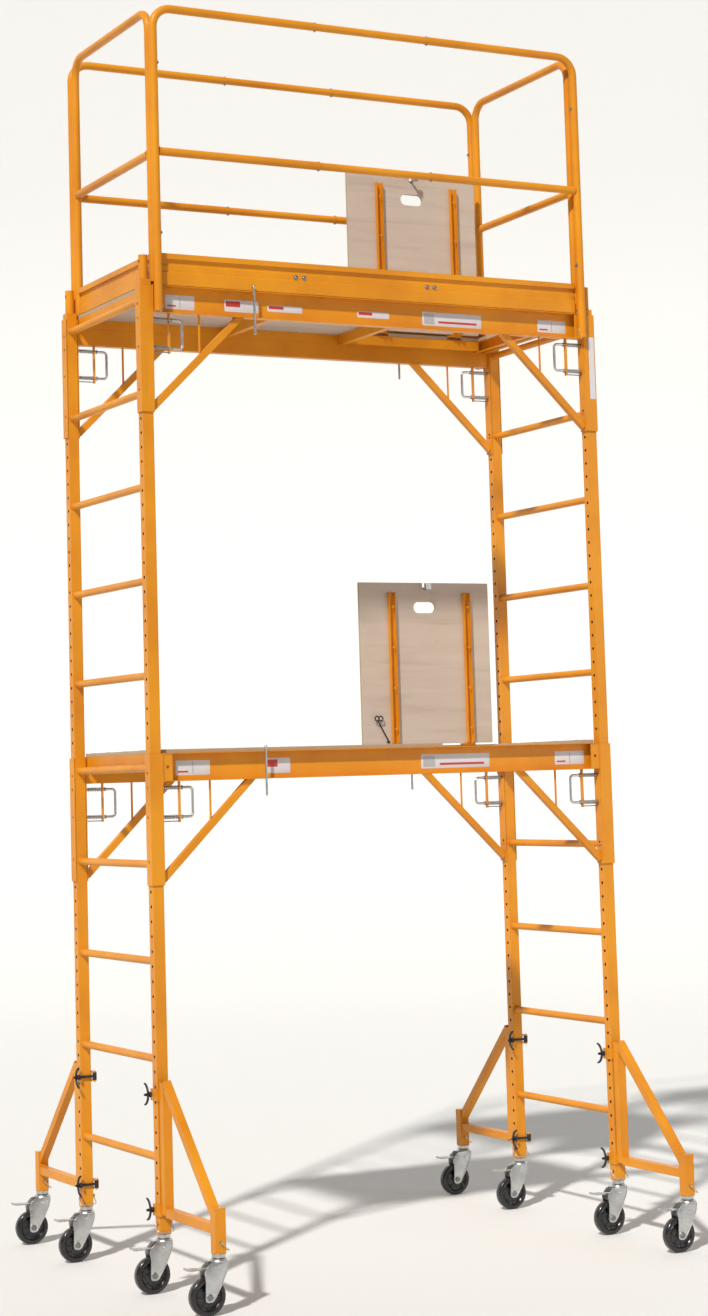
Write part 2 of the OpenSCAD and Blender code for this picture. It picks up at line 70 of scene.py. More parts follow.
# ---------------------------------------------------------------- mesh helpers
class Build:
    """Collects simple closed shapes into one mesh object."""

    def __init__(self):
        self.bm = bmesh.new()

    def _take(self, other, mat=0, smooth=False, matrix=None):
        if matrix is not None:
            bmesh.ops.transform(other, matrix=matrix, verts=other.verts)
        for f in other.faces:
            f.material_index = mat
            f.smooth = smooth
        me = bpy.data.meshes.new("tmp")
        other.to_mesh(me)
        other.free()
        self.bm.from_mesh(me)
        bpy.data.meshes.remove(me)

    def box(self, lo, hi, bevel=0.0, mat=0, seg=2, matrix=None):
        o = bmesh.new()
        bmesh.ops.create_cube(o, size=1.0)
        for v in o.verts:
            v.co = Vector(((lo[i] + hi[i]) / 2 + v.co[i] * (hi[i] - lo[i])) for i in range(3))
        if bevel > 0:
            bmesh.ops.bevel(o, geom=list(o.edges), offset=bevel, segments=seg, profile=0.5, affect="EDGES")
        self._take(o, mat, bevel > 0, matrix)

    def revolve(self, profile, centre=(0, 0, 0), axis="Z", steps=48, mat=0, smooth=True, closed=True, matrix=None):
        """profile: list of (radius, height). Closed loop if closed, else open ends meet the axis."""
        o = bmesh.new()
        rings = []
        for i in range(steps):
            a = 2 * math.pi * i / steps
            rings.append([o.verts.new((r * math.cos(a), r * math.sin(a), h)) if r > 1e-7 else None for r, h in profile])
        tips = [o.verts.new((0, 0, h)) if r <= 1e-7 else None for r, h in profile]
        n = len(profile)
        for i in range(steps):
            j = (i + 1) % steps
            for k in range(n if closed else n - 1):
                l = (k + 1) % n
                quad = []
                for v in (rings[i][k] or tips[k], rings[j][k] or tips[k], rings[j][l] or tips[l], rings[i][l] or tips[l]):
                    if v not in quad:
                        quad.append(v)
                if len(quad) > 2:
                    o.faces.new(quad)
        bmesh.ops.recalc_face_normals(o, faces=o.faces)
        m = Matrix.Translation(centre)
        if axis == "X":
            m = m @ Matrix.Rotation(math.radians(90), 4, "Y")
        elif axis == "Y":
            m = m @ Matrix.Rotation(math.radians(-90), 4, "X")
        if matrix is not None:
            m = matrix @ m
        self._take(o, mat, smooth, m)

    def cyl(self, p, q, r, mat=0, steps=24, bevel=0.0006, matrix=None, smooth=True):
        p, q = Vector(p), Vector(q)
        h = (q - p).length
        b = min(bevel, r * 0.4, h * 0.4)
        prof = [(0, 0), (r - b, 0), (r, b), (r, h - b), (r - b, h), (0, h)]
        m = Matrix.Translation(p) @ (q - p).to_track_quat("Z", "Y").to_matrix().to_4x4()
        if matrix is not None:
            m = matrix @ m
        self.revolve(prof, steps=steps, mat=mat, closed=False, smooth=smooth, matrix=m)

    def hexagon(self, p, q, r, mat=0, matrix=None):
        self.cyl(p, q, r, mat=mat, steps=6, bevel=0.001, matrix=matrix, smooth=False)

    def tube(self, path, r, mat=0, steps=16, closed=False, matrix=None):
        """Round tube along a list of points, with closed ends."""
        pts = [Vector(p) for p in path]
        o = bmesh.new()
        n = len(pts)
        tang = []
        for i in range(n):
            if closed:
                t = pts[(i + 1) % n] - pts[i - 1]
            else:
                t = pts[min(i + 1, n - 1)] - pts[max(i - 1, 0)]
            tang.append(t.normalized())
        ref = tang[0].orthogonal().normalized()
        rings = []
        for i in range(n):
            ref = (ref - tang[i] * ref.dot(tang[i])).normalized()
            side = tang[i].cross(ref)
            rings.append([o.verts.new(pts[i] + (ref * math.cos(2 * math.pi * k / steps) + side * math.sin(2 * math.pi * k / steps)) * r) for k in range(steps)])
        for i in range(n if closed else n - 1):
            a, b = rings[i], rings[(i + 1) % n]
            for k in range(steps):
                l = (k + 1) % steps
                o.faces.new((a[k], a[l], b[l], b[k]))
        if not closed:
            o.faces.new(list(reversed(rings[0])))
            o.faces.new(rings[-1])
        bmesh.ops.recalc_face_normals(o, faces=o.faces)
        self._take(o, mat, True, matrix)

    def plate(self, outline, t0, t1, plane="XZ", bevel=0.0, mat=0, matrix=None):
        """Extruded outline. plane names the two axes of the outline; t0..t1 is along the third."""
        o = bmesh.new()
        def at(p, t):
            if plane == "XZ":
                return (p[0], t, p[1])
            if plane == "XY":
                return (p[0], p[1], t)
            return (t, p[0], p[1])
        a = [o.verts.new(at(p, t0)) for p in outline]
        b = [o.verts.new(at(p, t1)) for p in outline]
        n = len(outline)
        o.faces.new(a)
        o.faces.new(list(reversed(b)))
        for i in range(n):
            o.faces.new((a[i], a[(i + 1) % n], b[(i + 1) % n], b[i]))
        bmesh.ops.recalc_face_normals(o, faces=o.faces)
        if bevel > 0:
            rim = [e for e in o.edges if all(len(f.verts) > 4 for f in e.link_faces) is False and any(len(f.verts) > 4 for f in e.link_faces)]
            bmesh.ops.bevel(o, geom=rim or list(o.edges), offset=bevel, segments=2, profile=0.5, affect="EDGES")
        self._take(o, mat, bevel > 0, matrix)

    def done(self, name, mats, body, replaces=(), slot=None, autosmooth=40):
        me = bpy.data.meshes.new(name)
        bmesh.ops.remove_doubles(self.bm, verts=self.bm.verts, dist=1e-7)
        self.bm.to_mesh(me)
        self.bm.free()
        for m in mats:
            me.materials.append(m)
        if hasattr(me, "set_sharp_from_angle"):
            me.set_sharp_from_angle(angle=math.radians(autosmooth))
        ob = bpy.data.objects.new(name, me)
        bpy.context.scene.collection.objects.link(ob)
        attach(ob, body)
        if replaces:
            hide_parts(*replaces)
        return ob


# ---------------------------------------------------------------- materials
def new_mat(name):
    m = bpy.data.materials.new(name)
    m.use_nodes = True
    nt = m.node_tree
    bsdf = nt.nodes["Principled BSDF"]
    return m, nt, bsdf


def noise(nt, scale, detail=4.0, rough=0.5, vector=None, dist=0.0):
    n = nt.nodes.new("ShaderNodeTexNoise")
    n.inputs["Scale"].default_value = scale
    n.inputs["Detail"].default_value = detail
    n.inputs["Roughness"].default_value = rough
    n.inputs["Distortion"].default_value = dist
    if vector is not None:
        nt.links.new(vector, n.inputs["Vector"])
    return n.outputs["Fac"]


def ramp(nt, fac, stops):
    r = nt.nodes.new("ShaderNodeValToRGB")
    e = r.color_ramp.elements
    while len(e) < len(stops):
        e.new(0.5)
    for el, (p, c) in zip(e, stops):
        el.position = p
        el.color = c if len(c) == 4 else (*c, 1)
    nt.links.new(fac, r.inputs["Fac"])
    return r.outputs["Color"]


def mix(nt, fac, a, b, mode="MIX"):
    m = nt.nodes.new("ShaderNodeMix")
    m.data_type = "RGBA"
    m.blend_type = mode
    for sock, v in ((m.inputs[0], fac), (m.inputs[6], a), (m.inputs[7], b)):
        if isinstance(v, (int, float)):
            sock.default_value = v
        elif isinstance(v, tuple):
            sock.default_value = v if len(v) == 4 else (*v, 1)
        else:
            nt.links.new(v, sock)
    return m.outputs[2]


def bump(nt, bsdf, height, strength, distance, normal=None):
    b = nt.nodes.new("ShaderNodeBump")
    b.inputs["Strength"].default_value = strength
    b.inputs["Distance"].default_value = distance
    nt.links.new(height, b.inputs["Height"])
    if normal is not None:
        nt.links.new(normal, b.inputs["Normal"])
    nt.links.new(b.outputs["Normal"], bsdf.inputs["Normal"])
    return b


def coords(nt, scale=(1, 1, 1), rot=(0, 0, 0)):
    t = nt.nodes.new("ShaderNodeTexCoord")
    m = nt.nodes.new("ShaderNodeMapping")
    m.inputs["Scale"].default_value = scale
    m.inputs["Rotation"].default_value = rot
    nt.links.new(t.outputs["Object"], m.inputs["Vector"])
    return m.outputs["Vector"]


def math_node(nt, op, a, b=None, clamp=False):
    n = nt.nodes.new("ShaderNodeMath")
    n.operation = op
    n.use_clamp = clamp
    for i, v in enumerate((a, b)):
        if v is None:
            continue
        if isinstance(v, (int, float)):
            n.inputs[i].default_value = v
        else:
            nt.links.new(v, n.inputs[i])
    return n.outputs[0]


def edge_mask(nt, radius):
    """White where a sharp outer edge is near, from the difference between the rounded and the true normal."""
    bev = nt.nodes.new("ShaderNodeBevel")
    bev.samples = 6
    bev.inputs["Radius"].default_value = radius
    geo = nt.nodes.new("ShaderNodeNewGeometry")
    dot = nt.nodes.new("ShaderNodeVectorMath")
    dot.operation = "DOT_PRODUCT"
    nt.links.new(bev.outputs["Normal"], dot.inputs[0])
    nt.links.new(geo.outputs["Normal"], dot.inputs[1])
    return math_node(nt, "SUBTRACT", 1.0, dot.outputs["Value"], clamp=True), bev.outputs["Normal"]


def paint_material(name="paint_orange", base=(0.73, 0.282, 0.008), dark=(0.62, 0.212, 0.005), wear=True):
    m, nt, bsdf = new_mat(name)
    vec = coords(nt)
    tone = ramp(nt, noise(nt, 3.2, 3, 0.55, vec), [(0.32, dark), (0.62, base)])
    speck = ramp(nt, noise(nt, 210.0, 3, 0.6, vec), [(0.60, (0, 0, 0)), (0.72, (1, 1, 1))])
    col = mix(nt, math_node(nt, "MULTIPLY", speck, 0.10), tone, (0.92, 0.45, 0.05))
    streak = noise(nt, 1.0, 5, 0.7, coords(nt, (60, 60, 3.5)))
    dirt = ramp(nt, streak, [(0.60, (0, 0, 0)), (0.80, (1, 1, 1))])
    col = mix(nt, math_node(nt, "MULTIPLY", dirt, 0.22), col, (0.32, 0.115, 0.02))
    edge, bnorm = edge_mask(nt, 0.0022)
    if wear:
        chips = ramp(nt, noise(nt, 55.0, 6, 0.72, vec), [(0.53, (0, 0, 0)), (0.60, (1, 1, 1))])
        worn = math_node(nt, "MULTIPLY", math_node(nt, "MULTIPLY", edge, 5.0, clamp=True), chips, clamp=True)
        col = mix(nt, math_node(nt, "MULTIPLY", worn, 0.75), col, (0.16, 0.085, 0.05))
        nt.links.new(math_node(nt, "MULTIPLY", worn, 0.5), bsdf.inputs["Metallic"])
    nt.links.new(col, bsdf.inputs["Base Color"])
    rough = ramp(nt, noise(nt, 26.0, 4, 0.6, vec), [(0.3, (0.36, 0.36, 0.36)), (0.75, (0.52, 0.52, 0.52))])
    nt.links.new(rough, bsdf.inputs["Roughness"])
    bsdf.inputs["Specular IOR Level"].default_value = 0.32
    bsdf.inputs["Coat Weight"].default_value = 0.06
    bsdf.inputs["Coat Roughness"].default_value = 0.25
    bump(nt, bsdf, noise(nt, 420.0, 2, 0.5, vec), 0.10, 0.0004, bnorm)
    return m


def metal_material(name, base, rough=(0.24, 0.42), metallic=1.0, tint=(0.62, 0.60, 0.52), grain=160.0, edge=0.0012):
    m, nt, bsdf = new_mat(name)
    vec = coords(nt)
    blot = ramp(nt, noise(nt, 34.0, 5, 0.65, vec), [(0.40, base), (0.72, tint)])
    nt.links.new(blot, bsdf.inputs["Base Color"])
    bsdf.inputs["Metallic"].default_value = metallic
    r = ramp(nt, noise(nt, grain, 4, 0.6, vec), [(0.3, (rough[0],) * 3), (0.7, (rough[1],) * 3)])
    nt.links.new(r, bsdf.inputs["Roughness"])
    _, bnorm = edge_mask(nt, edge)
    bump(nt, bsdf, noise(nt, 300.0, 3, 0.5, vec), 0.08, 0.0003, bnorm)
    return m


def phenolic_material():
    m, nt, bsdf = new_mat("wheel_phenolic")
    vec = coords(nt)
    fleck = ramp(nt, noise(nt, 240.0, 5, 0.7, vec), [(0.45, (0.006, 0.006, 0.007)), (0.80, (0.020, 0.019, 0.018))])
    dust = ramp(nt, noise(nt, 30.0, 6, 0.7, vec), [(0.50, (0, 0, 0)), (0.80, (1, 1, 1))])
    col = mix(nt, math_node(nt, "MULTIPLY", dust, 0.06), fleck, (0.20, 0.18, 0.15))
    nt.links.new(col, bsdf.inputs["Base Color"])
    r = ramp(nt, noise(nt, 70.0, 4, 0.6, vec), [(0.3, (0.16,) * 3), (0.75, (0.40,) * 3)])
    nt.links.new(r, bsdf.inputs["Roughness"])
    bsdf.inputs["Coat Weight"].default_value = 0.35
    bsdf.inputs["Coat Roughness"].default_value = 0.12
    bump(nt, bsdf, noise(nt, 120.0, 5, 0.6, vec), 0.10, 0.0005)
    return m


def rubber_black(name="black_coat", rough=0.42):
    m, nt, bsdf = new_mat(name)
    vec = coords(nt)
    col = ramp(nt, noise(nt, 90.0, 4, 0.6, vec), [(0.4, (0.012, 0.012, 0.013)), (0.8, (0.05, 0.05, 0.05))])
    nt.links.new(col, bsdf.inputs["Base Color"])
    bsdf.inputs["Roughness"].default_value = rough
    bsdf.inputs["Metallic"].default_value = 0.3
    bump(nt, bsdf, noise(nt, 380.0, 3, 0.5, vec), 0.12, 0.0004)
    return m


def plywood_face(name, light, mid, dark):
    """Rotary-cut veneer: faint long figure along X, fine pores, a few darker streaks and scuffs."""
    m, nt, bsdf = new_mat(name)
    figure = ramp(nt, noise(nt, 1.0, 5, 0.6, coords(nt, (1.6, 17.0, 17.0)), 0.8), [(0.28, light), (0.55, mid), (0.80, dark)])
    fine = noise(nt, 1.0, 6, 0.7, coords(nt, (16, 460, 460)))
    pores = ramp(nt, fine, [(0.54, (0, 0, 0)), (0.70, (1, 1, 1))])
    col = mix(nt, math_node(nt, "MULTIPLY", pores, 0.25), figure, dark)
    cloud = ramp(nt, noise(nt, 2.6, 5, 0.6, coords(nt)), [(0.35, (0, 0, 0)), (0.75, (1, 1, 1))])
    col = mix(nt, math_node(nt, "MULTIPLY", cloud, 0.35), col, (0.47, 0.42, 0.38))
    streak = ramp(nt, noise(nt, 1.0, 4, 0.6, coords(nt, (1.1, 40.0, 40.0)), 0.5), [(0.66, (0, 0, 0)), (0.74, (1, 1, 1))])
    col = mix(nt, math_node(nt, "MULTIPLY", streak, 0.35), col, (0.36, 0.25, 0.19))
    scuff = ramp(nt, noise(nt, 15.0, 6, 0.75, coords(nt)), [(0.63, (0, 0, 0)), (0.76, (1, 1, 1))])
    col = mix(nt, math_node(nt, "MULTIPLY", scuff, 0.22), col, (0.24, 0.20, 0.18))
    nt.links.new(col, bsdf.inputs["Base Color"])
    bsdf.inputs["Roughness"].default_value = 0.66
    bsdf.inputs["Specular IOR Level"].default_value = 0.3
    bump(nt, bsdf, fine, 0.20, 0.0006)
    return m


def plywood_edge():
    """Seven plies seen from the side, read along the board's own thickness."""
    m, nt, bsdf = new_mat("plywood_edge")
    vec = coords(nt)
    sep = nt.nodes.new("ShaderNodeSeparateXYZ")
    nt.links.new(vec, sep.inputs[0])
    s = math_node(nt, "ADD", math_node(nt, "MULTIPLY", sep.outputs["Z"], 1.0), math_node(nt, "MULTIPLY", sep.outputs["Y"], 1.0))
    wob = math_node(nt, "MULTIPLY", noise(nt, 24.0, 3, 0.5, vec), 0.0016)
    st = math_node(nt, "FRACT", math_node(nt, "MULTIPLY", math_node(nt, "ADD", s, wob), 260.0))
    layers = ramp(nt, st, [(0.0, (0.55, 0.42, 0.27)), (0.45, (0.60, 0.47, 0.31)), (0.55, (0.30, 0.20, 0.12)), (1.0, (0.36, 0.25, 0.15))])
    col = mix(nt, 0.35, layers, ramp(nt, noise(nt, 180.0, 4, 0.6, vec), [(0.3, (0.30, 0.22, 0.15)), (0.8, (0.62, 0.52, 0.38))]))
    nt.links.new(col, bsdf.inputs["Base Color"])
    bsdf.inputs["Roughness"].default_value = 0.75
    bump(nt, bsdf, noise(nt, 500.0, 3, 0.6, vec), 0.3, 0.0005)
    return m


def label_material(name, base, ink, frac=0.0):
    m, nt, bsdf = new_mat(name)
    vec = coords(nt)
    grime = ramp(nt, noise(nt, 60.0, 6, 0.7, vec), [(0.50, (0, 0, 0)), (0.85, (1, 1, 1))])
    col = mix(nt, math_node(nt, "MULTIPLY", grime, 0.25), base, ink)
    nt.links.new(col, bsdf.inputs["Base Color"])
    bsdf.inputs["Roughness"].default_value = 0.38
    bump(nt, bsdf, noise(nt, 90.0, 3, 0.5, vec), 0.10, 0.0004)
    return m


PAINT = paint_material()
ZINC = metal_material("zinc_plate", (0.62, 0.63, 0.64), tint=(0.50, 0.50, 0.46))
ZINC_DARK = metal_material("zinc_dark", (0.30, 0.30, 0.31), rough=(0.28, 0.5), tint=(0.20, 0.19, 0.17))
WHEEL = phenolic_material()
BLACK = rubber_black()
PLY = plywood_face("plywood_hatch", (0.60, 0.50, 0.41), (0.55, 0.445, 0.36), (0.44, 0.335, 0.26))
PLYX = plywood_face("plywood_deck", (0.56, 0.47, 0.38), (0.50, 0.41, 0.33), (0.38, 0.29, 0.22))
PLY_EDGE = plywood_edge()
WHITE = label_material("label_white", (0.64, 0.62, 0.63), (0.42, 0.40, 0.40))
RED = label_material("label_red", (0.50, 0.035, 0.025), (0.25, 0.05, 0.04))
GREY = label_material("label_grey", (0.42, 0.42, 0.43), (0.28, 0.27, 0.26))
WELD = metal_material("weld_painted", (0.60, 0.19, 0.010), rough=(0.35, 0.5), metallic=0.0, tint=(0.70, 0.25, 0.02), grain=60)

# painted shade: near-black material for the post insides and hole walls, standing in for the shade inside them
PAINTED_SHADE_BORE = rubber_black("bore_painted_shade", 0.8)

slot_mat = {"paint": PAINT, "zinc": ZINC, "black_steel": BLACK, "wheel_black": WHEEL, "plywood": PLYX}
slots = {s["node"]: s["material_slot"] for s in frame["record"]["subparts"]}
for n, o in NODES.items():
    o.data.materials.clear()
    o.data.materials.append(slot_mat[slots[n]])
# painted shade: the insides of the posts and the walls of their holes get a near-black material that stands in for the
# shade inside them
for n in ("frame_lower_left", "frame_lower_right", "frame_upper_left", "frame_upper_right"):
    o = NODES[n]
    o.data.materials.append(PAINTED_SHADE_BORE)
    xc = XL if n.endswith("left") else XR
    for p in o.data.polygons:
        if abs(abs(p.center.y) - HW) < 0.0195 and abs(p.center.x - xc) < 0.0195 and not (n.startswith("frame_upper") and p.center.z > FOOT + 2 * FRAME_H - 0.001):
            p.material_index = 1
# zinc drop pins on the deck frames, which share a node with the painted steel
for lv in ("lower", "upper"):
    o = NODES[f"deck_frame_{lv}"]
    o.data.materials.append(ZINC)
    for p in o.data.polygons:
        if abs(p.center.y) > HW + 0.024:
            p.material_index = 1

# ---------------------------------------------------------------- casters
def caster(kind, name, x, y):
    tag = f"{kind}_{name}"
    body = f"caster_{kind}_{name}"
    T = Matrix.Translation((x, y, 0))
    zt = FOOT - 0.012       # underside of the fixed race collar
    # fork: pressed top with a domed double race, legs bent down from it
    f = Build()
    f.revolve([(0.008, zt - 0.0006), (0.020, zt - 0.0008), (0.0255, zt - 0.0030), (0.0290, zt - 0.0065), (0.0305, zt - 0.0100), (0.0285, zt - 0.0128), (0.008, zt - 0.0130)], steps=48, matrix=T)
    leg = [(-0.036, 0.1715), (0.024, 0.1715), (0.0245, 0.160), (0.020, 0.140), (-0.001, 0.096), (-0.024, 0.058), (-0.029, 0.050), (-0.037, 0.0460), (-0.050, 0.0460),
           (-0.0570, 0.0495), (-0.0595, 0.056), (-0.0590, 0.080), (-0.0580, 0.112), (-0.0590, 0.126), (-0.0610, 0.136), (-0.0605, 0.146), (-0.052, 0.158)]
    for s in (-1, 1):
        a, b = sorted((s * 0.0202, s * 0.0228))
        f.plate(leg, a, b, "XZ", bevel=0.0008, matrix=T)
        # rolled rib down the front edge of each leg
        rib = [(0.0225, s * 0.0222, 0.166), (0.0180, s * 0.0228, 0.141), (-0.003, s * 0.0230, 0.096), (-0.0245, s * 0.0230, 0.060)]
        f.tube(rib, 0.0016, steps=8, matrix=T)
        f.cyl((-0.045, s * 0.0228, WR), (-0.045, s * 0.0243, WR), 0.0125, matrix=T)
        f.cyl((-0.006, s * 0.0226, 0.150), (-0.006, s * 0.0250, 0.150), 0.0055, matrix=T)
    f.box((-0.026, -0.0228, 0.1690), (0.024, 0.0228, 0.1716), 0.0012, matrix=T)
    # axle bolt, nut and head
    f.cyl((-0.045, -0.0290, WR), (-0.045, 0.0290, WR), 0.0055, mat=1, matrix=T)
    f.hexagon((-0.045, 0.0243, WR), (-0.045, 0.0303, WR), 0.0105, mat=1, matrix=T)
    f.hexagon((-0.045, -0.0303, WR), (-0.045, -0.0243, WR), 0.0105, mat=1, matrix=T)
    # grease nipple
    f.cyl((0.0235, 0, 0.162), (0.0300, 0, 0.164), 0.0028, mat=1, matrix=T)
    f.done("fork_" + tag + "_detail", [ZINC, ZINC_DARK], body, [f"fork_{tag}"], "zinc")
    # wheel: moulded tread with rounded shoulders, dished web, hub boss and steel bush
    w = Build()
    R, hwid = WR, 0.0158
    prof = [(0.0150, 0.0185), (0.0172, 0.0170), (0.0185, 0.0115), (0.0230, 0.0098), (0.0400, 0.0098), (0.0430, 0.0118), (0.0450, 0.0150), (R - 0.0075, hwid), (R - 0.0035, hwid - 0.0012),
            (R - 0.0010, hwid - 0.0042), (R, hwid - 0.0080)]
    prof = prof + [(r, -h) for r, h in reversed(prof)]
    w.revolve(prof + [(0.0150, -0.0160), (0.0150, 0.0160)], centre=(x - 0.045, y, WR), axis="Y", steps=96)
    # raised ring mark on the web and the ribs between hub and rim
    for s in (-1, 1):
        w.revolve([(0.0445, s * 0.0148), (0.0460, s * 0.0168), (0.0475, s * 0.0170), (0.0490, s * 0.0150)], centre=(x - 0.045, y, WR), axis="Y", steps=72, closed=True)
        w.revolve([(0.0062, s * 0.0150), (0.0062, s * 0.0188), (0.0110, s * 0.0190), (0.0128, s * 0.0180), (0.0128, s * 0.0150)], centre=(x - 0.045, y, WR), axis="Y", steps=40, mat=1)
        for k in range(8):
            a = 2 * math.pi * k / 8
            c, sn = math.cos(a), math.sin(a)
            w.tube([(x - 0.045 + c * 0.0185, y + s * 0.0098, WR + sn * 0.0185), (x - 0.045 + c * 0.0300, y + s * 0.0102, WR + sn * 0.0300), (x - 0.045 + c * 0.0425, y + s * 0.0108, WR + sn * 0.0425)], 0.0018, steps=8)
    w.done("wheel_" + tag + "_detail", [WHEEL, ZINC], f"rolling_{tag}", [f"wheel_{tag}"], "wheel_black")
    # brake pedal: pressed channel with a ribbed tread and a lifted toe
    p = Build()
    P = Matrix.Translation((x - 0.006, y, 0.150))
    p.cyl((0, -0.0235, 0), (0, 0.0235, 0), 0.0029, mat=1, matrix=P)
    p.cyl((0, -0.0168, 0), (0, 0.0168, 0), 0.0060, matrix=P)
    p.box((-0.070, -0.0168, 0.0012), (-0.001, 0.0168, 0.0036), 0.0008, matrix=P)
    for s in (-1, 1):
        a, b = sorted((s * 0.0168, s * 0.0148))
        p.plate([(-0.066, 0.0036), (-0.004, 0.0036), (-0.002, -0.003), (-0.030, -0.0005), (-0.066, 0.0005)], a, b, "XZ", matrix=P)
    toe = [(-0.112, -0.020), (-0.108, -0.0238), (-0.072, -0.0238), (-0.068, -0.0165), (-0.068, 0.0165), (-0.072, 0.0238), (-0.108, 0.0238), (-0.112, 0.020)]
    p.plate(toe, 0.0010, 0.0040, "XY", bevel=0.0008, matrix=P)
    p.tube([(-0.1110, -0.0200, 0.0060), (-0.1110, 0, 0.0075), (-0.1110, 0.0200, 0.0060)], 0.0024, steps=8, matrix=P)
    for k in range(5):
        xx = -0.104 + k * 0.0075
        p.tube([(xx, -0.0190, 0.0042), (xx, 0.0190, 0.0042)], 0.0011, steps=6, matrix=P)
    p.done("brake_" + tag + "_detail", [ZINC, ZINC_DARK], f"pedal_{tag}", [f"brake_{tag}"], "zinc")


for name, x, s in CORNERS:
    caster("main", name, x, s * HW)
    caster("outer", name, x, s * OY)

# wire bails of the stem pins
g = Build()
for name, x, s in CORNERS:
    for yy, main in ((s * HW, True), (s * OY, False)):
        z = FOOT + (0.0338 if main else 0.035)
        R3 = Matrix.Translation((x, yy, z)) @ (Matrix.Identity(4) if main else Matrix.Rotation(math.radians(90), 4, "Z"))
        path = [(0.0290, 0, 0), (0.0295, -0.004, -0.006), (0.0295, -0.024, -0.022), (0.0275, -0.0262, -0.0245), (0.0, -0.0266, -0.0252),
                (-0.0275, -0.0262, -0.0245), (-0.0295, -0.024, -0.022), (-0.0295, -0.004, -0.006), (-0.0290, 0, 0)]
        g.tube(path, 0.0015, steps=8, matrix=R3)
g.done("stem_pin_bails", [ZINC], "frame")


# ---------------------------------------------------------------- welds on the ladder frames
def ring(b, centre, axis, r, wr, mat=0, seed=0, steps=36):
    """A weld bead: a torus with a rippled section."""
    rr = random.Random(seed)
    c = Vector(centre)
    u, v = {"Y": (Vector((1, 0, 0)), Vector((0, 0, 1))), "X": (Vector((0, 1, 0)), Vector((0, 0, 1))), "Z": (Vector((1, 0, 0)), Vector((0, 1, 0)))}[axis]
    pts = []
    for k in range(steps):
        a = 2 * math.pi * k / steps
        q = r + rr.uniform(-0.0005, 0.0005) + 0.0004 * math.cos(a * 14)
        pts.append(c + u * q * math.cos(a) + v * q * math.sin(a))
    b.tube(pts, wr, mat=mat, steps=8, closed=True)


for lv, zf in (("lower", FOOT), ("upper", FOOT + FRAME_H)):
    for e, x in (("left", XL), ("right", XR)):
        w = Build()
        for i in range(5):
            z = zf + 0.251 + 0.3314 * i
            for s in (-1, 1):
                ring(w, (x, s * (HW - 0.0207), z), "Y", 0.0141, 0.0021, seed=i * 7 + s)
        if lv == "upper":
            for s in (-1, 1):
                ring(w, (x, s * HW, zf + FRAME_H + 0.0006), "Z", 0.0170, 0.0019, seed=90 + s)
        w.done(f"welds_frame_{lv}_{e}", [WELD], "frame")

# ---------------------------------------------------------------- plywood
def rounded_rect(x0, z0, x1, z1, r, n=6):
    out = []
    for cx, cz, a0 in ((x1 - r, z1 - r, 0), (x0 + r, z1 - r, 90), (x0 + r, z0 + r, 180), (x1 - r, z0 + r, 270)):
        for k in range(n + 1):
            a = math.radians(a0 + 90 * k / n)
            out.append((cx + r * math.cos(a), cz + r * math.sin(a)))
    return out


def board(name, outer, holes, t0, t1, plane, body, node, face_mat, bevel=0.0007):
    """A plywood sheet with true holes: faces veneer, rims ply edge."""
    bm = bmesh.new()
    def at(p, t):
        return (p[0], t, p[1]) if plane == "XZ" else (p[0], p[1], t)
    loops = [outer] + holes
    edges, sides = [], []
    for loop in loops:
        vs = [bm.verts.new(at(p, t0)) for p in loop]
        es = [bm.edges.new((vs[i], vs[(i + 1) % len(vs)])) for i in range(len(vs))]
        edges += es
        sides.append(vs)
    res = bmesh.ops.triangle_fill(bm, edges=edges, use_beauty=True, use_dissolve=False)
    faces = [f for f in res["geom"] if isinstance(f, bmesh.types.BMFace)]
    ext = bmesh.ops.extrude_face_region(bm, geom=faces)
    newv = [v for v in ext["geom"] if isinstance(v, bmesh.types.BMVert)]
    d = Vector((0, t1 - t0, 0)) if plane == "XZ" else Vector((0, 0, t1 - t0))
    bmesh.ops.translate(bm, verts=newv, vec=d)
    bmesh.ops.recalc_face_normals(bm, faces=bm.faces)
    k = 1 if plane == "XZ" else 2
    for f in bm.faces:
        f.material_index = 0 if abs(f.normal[k]) > 0.9 else 1
    me = bpy.data.meshes.new(name)
    bm.to_mesh(me)
    bm.free()
    me.materials.append(face_mat)
    me.materials.append(PLY_EDGE)
    ob = bpy.data.objects.new(name, me)
    bpy.context.scene.collection.objects.link(ob)
    mod = ob.modifiers.new("round", "BEVEL")
    mod.width = bevel
    mod.segments = 2
    mod.limit_method = "ANGLE"
    mod.angle_limit = math.radians(50)
    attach(ob, body)
    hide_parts(node)
    return ob


def bolt_head(b, p, n, r=0.0065, h=0.0035, mat=0):
    """Low domed head with a washer, standing on p along n."""
    p, n = Vector(p), Vector(n).normalized()
    m = Matrix.Translation(p) @ n.to_track_quat("Z", "Y").to_matrix().to_4x4()
    b.revolve([(0, 0), (r * 1.5, 0), (r * 1.5, 0.0010), (r, 0.0012), (r * 0.98, h * 0.5), (r * 0.75, h * 0.85), (r * 0.35, h), (0, h)], steps=24, mat=mat, closed=False, matrix=m)


